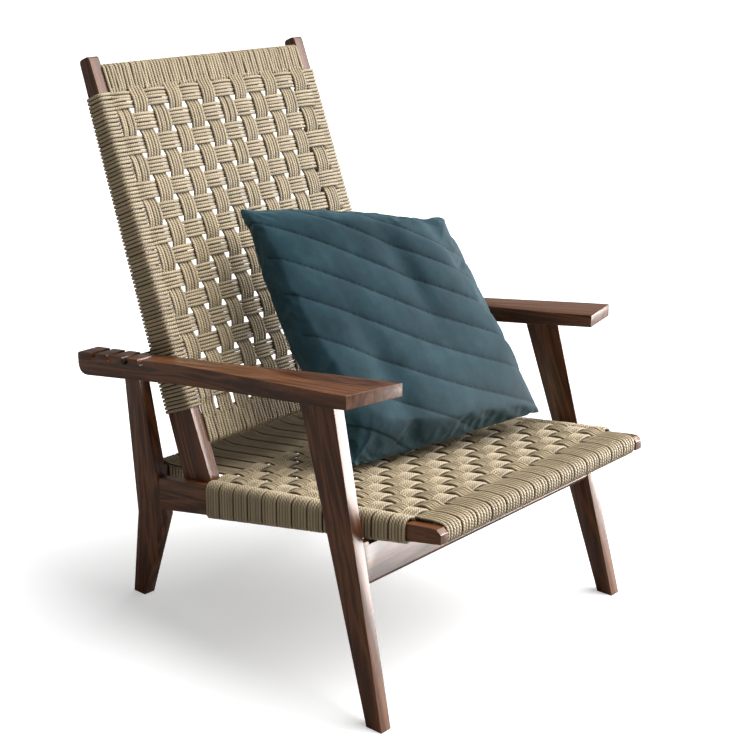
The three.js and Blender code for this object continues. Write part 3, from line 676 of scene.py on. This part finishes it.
# ---------------------------------------------------------------- rod and hidden fasteners
rod_low, rod_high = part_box("support_rod")
rod_radius = (rod_high.z - rod_low.z) / 2
shape = bmesh.new()
bmesh.ops.create_cone(
    shape,
    cap_ends=True,
    segments=40,
    radius1=rod_radius,
    radius2=rod_radius,
    depth=rod_high.x - rod_low.x,
    matrix=Matrix.Rotation(math.pi / 2, 4, "Y"),
)
mesh = bpy.data.meshes.new("rod")
shape.to_mesh(mesh)
shape.free()
mesh.shade_smooth()
mesh.materials.append(steel)
rod = bpy.data.objects.new("rod", mesh)
scene.collection.objects.link(rod)
rod.location = (rod_low + rod_high) / 2
rounding = rod.modifiers.new("rounded_ends", "BEVEL")
rounding.width = 1.2 * MM
rounding.segments = 3
rounding.limit_method = "ANGLE"
rounding.harden_normals = True
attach(rod, "rod")
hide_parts("support_rod")

for node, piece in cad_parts.items():
    if "dowel" in node or node.startswith("pivot_pin"):
        piece.data.materials.clear()
        piece.data.materials.append(steel if node.startswith("pivot_pin") else beech)

# ---------------------------------------------------------------- cushion
CUSHION_SEAMS = (-0.32, -0.19, -0.07, 0.07, 0.22, 0.37, 0.53, 0.69, 0.85)
SEAM_SLOPE = 0.45
CUSHION_SIZE = 1.03  # before it is blown up, which draws its edges in
# how far the left, right, top and bottom edges bow out
CUSHION_BOWS = (32 * MM, 12 * MM, 12 * MM, 14 * MM)
CUSHION_EDGE = 2.5 * MM
CUSHION_START = 40 * MM
CUSHION_CAP = 22 * MM  # the farthest the cloth may move a point
CUSHION_STEPS = 64
CUSHION_VOXEL = 6 * MM
CLOTH_FRAMES = 20
CLOTH_PRESSURE = 4
SEAM_DEPTH = 5 * MM
# u, v, width, length of each soft fold
FOLDS = ((0.86, 0.10, 0.05, 0.34), (0.60, 0.30, 0.06, 0.22), (0.30, 0.72, 0.07, 0.25))
FOLD_DEPTH = 7 * MM


def cushion_corners():
    """Corners of the CAD cushion's middle surface: top left, then round by the top right."""
    y0 = PIVOT.y - 494 * MM
    listed = ((-71, 582, 721), (217, 325, 714), (235, 126, 357), (-142, 242, 331))
    return [Vector((x * MM, y0 + y * MM, z * MM)) for x, y, z in listed]


def cushion_shape(corners, across, down, normal):
    """A thin pillow over the four corners: full faces, slightly hollow edges, thin seams all round."""
    top_left, top_right, bottom_right, bottom_left = corners
    centre = sum(corners, Vector()) / 4
    steps = CUSHION_STEPS

    def surface(u, v, face):
        edge_u = 1 - abs(2 * u - 1) ** 2.4
        edge_v = 1 - abs(2 * v - 1) ** 2.4
        crown = (edge_u * edge_v) ** 0.55
        left = top_left.lerp(bottom_left, v)
        right = top_right.lerp(bottom_right, v)
        point = left.lerp(right, u)
        bow_left, bow_right, bow_top, bow_bottom = CUSHION_BOWS
        point = point + across * (bow_right * u - bow_left * (1 - u)) * math.sin(math.pi * v)
        point = point + down * (bow_bottom * v - bow_top * (1 - v)) * math.sin(math.pi * u)
        return point + normal * face * (CUSHION_EDGE + (CUSHION_START - CUSHION_EDGE) * crown)

    shape = bmesh.new()

    def sheet(face):
        return [
            [shape.verts.new(surface(i / steps, j / steps, face)) for i in range(steps + 1)]
            for j in range(steps + 1)
        ]

    front, rear = sheet(1), sheet(-1)
    for j in range(steps):
        for i in range(steps):
            shape.faces.new((front[j][i], front[j + 1][i], front[j + 1][i + 1], front[j][i + 1]))
            shape.faces.new((rear[j][i], rear[j][i + 1], rear[j + 1][i + 1], rear[j + 1][i]))
        shape.faces.new((front[j][0], rear[j][0], rear[j + 1][0], front[j + 1][0]))
        shape.faces.new((front[j][steps], front[j + 1][steps], rear[j + 1][steps], rear[j][steps]))
        shape.faces.new((front[0][j], front[0][j + 1], rear[0][j + 1], rear[0][j]))
        shape.faces.new((front[steps][j], rear[steps][j], rear[steps][j + 1], front[steps][j + 1]))
    bmesh.ops.recalc_face_normals(shape, faces=shape.faces)
    bmesh.ops.scale(shape, vec=(CUSHION_SIZE,) * 3, space=Matrix.Translation(-centre), verts=shape.verts)
    mesh = bpy.data.meshes.new("cushion")
    shape.to_mesh(mesh)
    shape.free()
    return mesh


def inflate(piece):
    """Blows the cushion up as cloth, with the movement of each point capped."""
    remesh = piece.modifiers.new("remesh", "REMESH")
    remesh.mode = "VOXEL"
    remesh.voxel_size = CUSHION_VOXEL
    mesh = applied(piece)
    before = places(mesh)
    cloth = piece.modifiers.new("cloth", "CLOTH")
    cloth.settings.use_pressure = True
    cloth.settings.uniform_pressure_force = CLOTH_PRESSURE
    cloth.settings.effector_weights.gravity = 0
    cloth.settings.quality = 5
    for step in range(1, CLOTH_FRAMES + 1):
        scene.frame_set(step)
    mesh = applied(piece)
    scene.frame_set(1)
    moved = places(mesh) - before
    length = np.linalg.norm(moved, axis=1)
    moved *= (np.minimum(length, CUSHION_CAP) / np.maximum(length, 1e-9))[:, None]
    mesh.vertices.foreach_set("co", (before + moved).ravel())
    mesh.update()


def sew(piece, corners, across, down):
    """Presses the diagonal seams into both faces, and marks a painted shade line along them for the
    material.
    """
    smooth = piece.modifiers.new("smooth", "SUBSURF")
    smooth.levels = 1
    smooth.render_levels = 1
    mesh = applied(piece)
    points = places(mesh)
    origin, right, far, low = (np.array([c.dot(across), c.dot(down)]) for c in corners)
    flat = np.stack([points @ np.array(across), points @ np.array(down)], axis=1)
    uv = np.full((len(points), 2), 0.5)
    for _ in range(8):
        u, v = uv[:, :1], uv[:, 1:]
        guess = origin * (1 - u) * (1 - v) + right * u * (1 - v) + far * u * v + low * (1 - u) * v
        along_u = (right - origin) * (1 - v) + (far - low) * v
        along_v = (low - origin) * (1 - u) + (far - right) * u
        gap = flat - guess
        area = along_u[:, 0] * along_v[:, 1] - along_u[:, 1] * along_v[:, 0]
        uv[:, 0] += (gap[:, 0] * along_v[:, 1] - gap[:, 1] * along_v[:, 0]) / area
        uv[:, 1] += (along_u[:, 0] * gap[:, 1] - along_u[:, 1] * gap[:, 0]) / area
    u, v = uv.T
    across_seams = v - SEAM_SLOPE * u + 0.012 * np.sin(5.5 * u + 2.0 * v)
    seams = np.array(CUSHION_SEAMS)
    gaps = np.diff(seams)
    slot = np.clip(np.searchsorted(seams, across_seams) - 1, 0, len(gaps) - 1)
    share = np.clip((across_seams - seams[slot]) / gaps[slot], 0, 1)
    puff = np.sin(math.pi * share) ** 0.30
    inner = np.clip(1 - np.abs(2 * u - 1) ** 6, 0, 1) * np.clip(1 - np.abs(2 * v - 1) ** 6, 0, 1)
    normals = np.empty(len(points) * 3)
    mesh.vertices.foreach_get("normal", normals)
    normals = normals.reshape(-1, 3)
    sink = (puff - 1) * SEAM_DEPTH
    for middle_u, middle_v, width, length in FOLDS:
        aside = u - middle_u - 0.12 * (v - middle_v)
        sink -= FOLD_DEPTH * np.exp(-((aside / width) ** 2) - ((v - middle_v) / length) ** 2)
    sink += 1.6 * MM * np.sin(9.0 * u + 4.0 * v) * np.sin(11.0 * v - 3.0 * u)
    points += normals * (sink * inner ** 0.5)[:, None]
    mesh.vertices.foreach_set("co", points.ravel())
    # painted shade mask: a thin line along each seam for the velvet to darken
    nearest = np.min(np.abs(across_seams[:, None] - seams[None, :]), axis=1)
    painted_seam_shade = mesh.attributes.new("painted_seam_shade", "FLOAT", "POINT")
    depth = np.exp(-((nearest / 0.0034) ** 2)) * (inner > 0.02)
    painted_seam_shade.data.foreach_set("value", depth.astype(np.float32))
    mesh.update()


corners = cushion_corners()
across = (corners[1] + corners[2] - corners[0] - corners[3]).normalized()
down = corners[2] + corners[3] - corners[0] - corners[1]
normal = across.cross(down).normalized()
down = normal.cross(across)
cushion = bpy.data.objects.new("cushion", cushion_shape(corners, across, down, normal))
scene.collection.objects.link(cushion)
cushion.data.materials.append(velvet)
inflate(cushion)
sew(cushion, corners, across, down)
cushion.data.shade_smooth()
smooth = cushion.modifiers.new("smooth", "SUBSURF")
smooth.levels = 1
smooth.render_levels = 1
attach(cushion, "cushion")
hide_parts("throw_cushion")

# ---------------------------------------------------------------- stage and light
floor_mesh = bpy.data.meshes.new("floor")
FLOOR_REACH = 80.0
floor_corners = [(x * FLOOR_REACH, y * FLOOR_REACH, 0) for x, y in ((-1, -1), (1, -1), (1, 1), (-1, 1))]
floor_mesh.from_pydata(floor_corners, [], [(0, 1, 2, 3)])
floor = bpy.data.objects.new("floor", floor_mesh)
scene.collection.objects.link(floor)
paint = Nodes("floor_paint")
seen = paint.add("ShaderNodeLightPath").outputs["Is Camera Ray"]
paint.join(paint.mix(seen, (0.24, 0.23, 0.22), (0.93, 0.93, 0.93)), paint.shader.inputs["Base Color"])
paint.shader.inputs["Roughness"].default_value = 0.9
paint.shader.inputs["Emission Color"].default_value = (1, 1, 1, 1)
paint.join(paint.math("MULTIPLY", seen, 0.38), paint.shader.inputs["Emission Strength"])
floor_mesh.materials.append(paint.material)

world = bpy.data.worlds.new("studio")
scene.world = world
world.use_nodes = True
world.node_tree.nodes["Background"].inputs[0].default_value = (1, 1, 1, 1)
world.node_tree.nodes["Background"].inputs[1].default_value = 0.22

SUN_WAY = Vector((-0.60, 0.55, -1.0))
sun = bpy.data.lights.new("sun", "SUN")
sun.energy = 4.6
sun.angle = math.radians(66)
sun_object = bpy.data.objects.new("sun", sun)
scene.collection.objects.link(sun_object)
sun_object.rotation_euler = SUN_WAY.to_track_quat("-Z", "Y").to_euler()

# A bright card in front, seen only in reflections
CARD_PLACE = Vector((1.6, -1.8, 0.75))
CARD_TARGET = Vector((0, 0, 0.6))
card_light = bpy.data.lights.new("front_card", "AREA")
card_light.shape = "RECTANGLE"
card_light.size = 2.6
card_light.size_y = 1.9
card_light.energy = 430
card = bpy.data.objects.new("front_card", card_light)
scene.collection.objects.link(card)
card.location = CARD_PLACE
card.rotation_euler = (CARD_TARGET - CARD_PLACE).to_track_quat("-Z", "Y").to_euler()
card.visible_camera = False
card.visible_diffuse = False

scene.view_settings.view_transform = "Standard"
